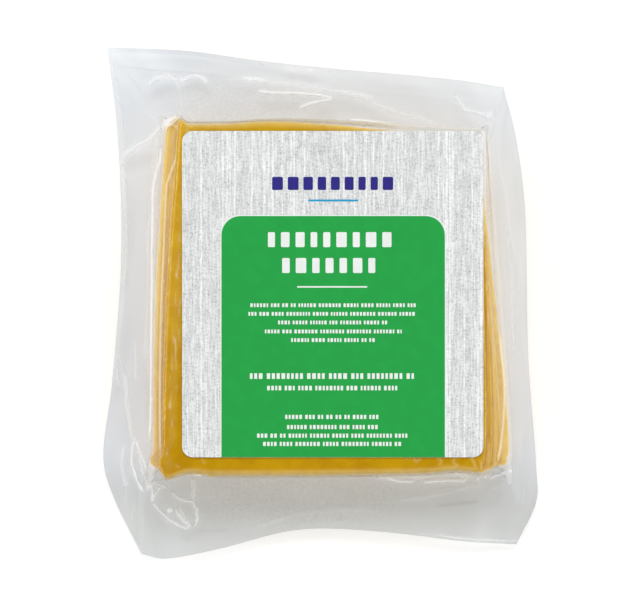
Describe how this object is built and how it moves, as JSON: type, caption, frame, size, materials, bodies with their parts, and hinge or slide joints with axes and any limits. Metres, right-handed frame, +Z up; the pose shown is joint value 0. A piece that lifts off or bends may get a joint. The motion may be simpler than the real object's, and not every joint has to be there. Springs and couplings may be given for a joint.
{
  "type": "vacuum pack of sliced cheddar",
  "caption": "Clear vacuum pouch drawn tight round a fanned stack of square cheese slices, with a wavy sealed skirt and a rounded paper label on its upper face.",
  "frame": {"origin": "middle of the pouch's outline, on the surface the pack lies on", "axes": "+Z up through the label, +Y towards the label's top edge and the wide sealed end, +X to the label's right"},
  "size_m": [0.1174, 0.1382, 0.0225],
  "materials": {
    "cheese_in_film": "gloss",
    "film": "gloss",
    "cheese": "satin",
    "label_paper": "satin",
    "label_print": "satin"
  },
  "bodies": {
    "root": {"pouch": "cheese_in_film", "label": "label_paper"}
  },
  "joints": []
}
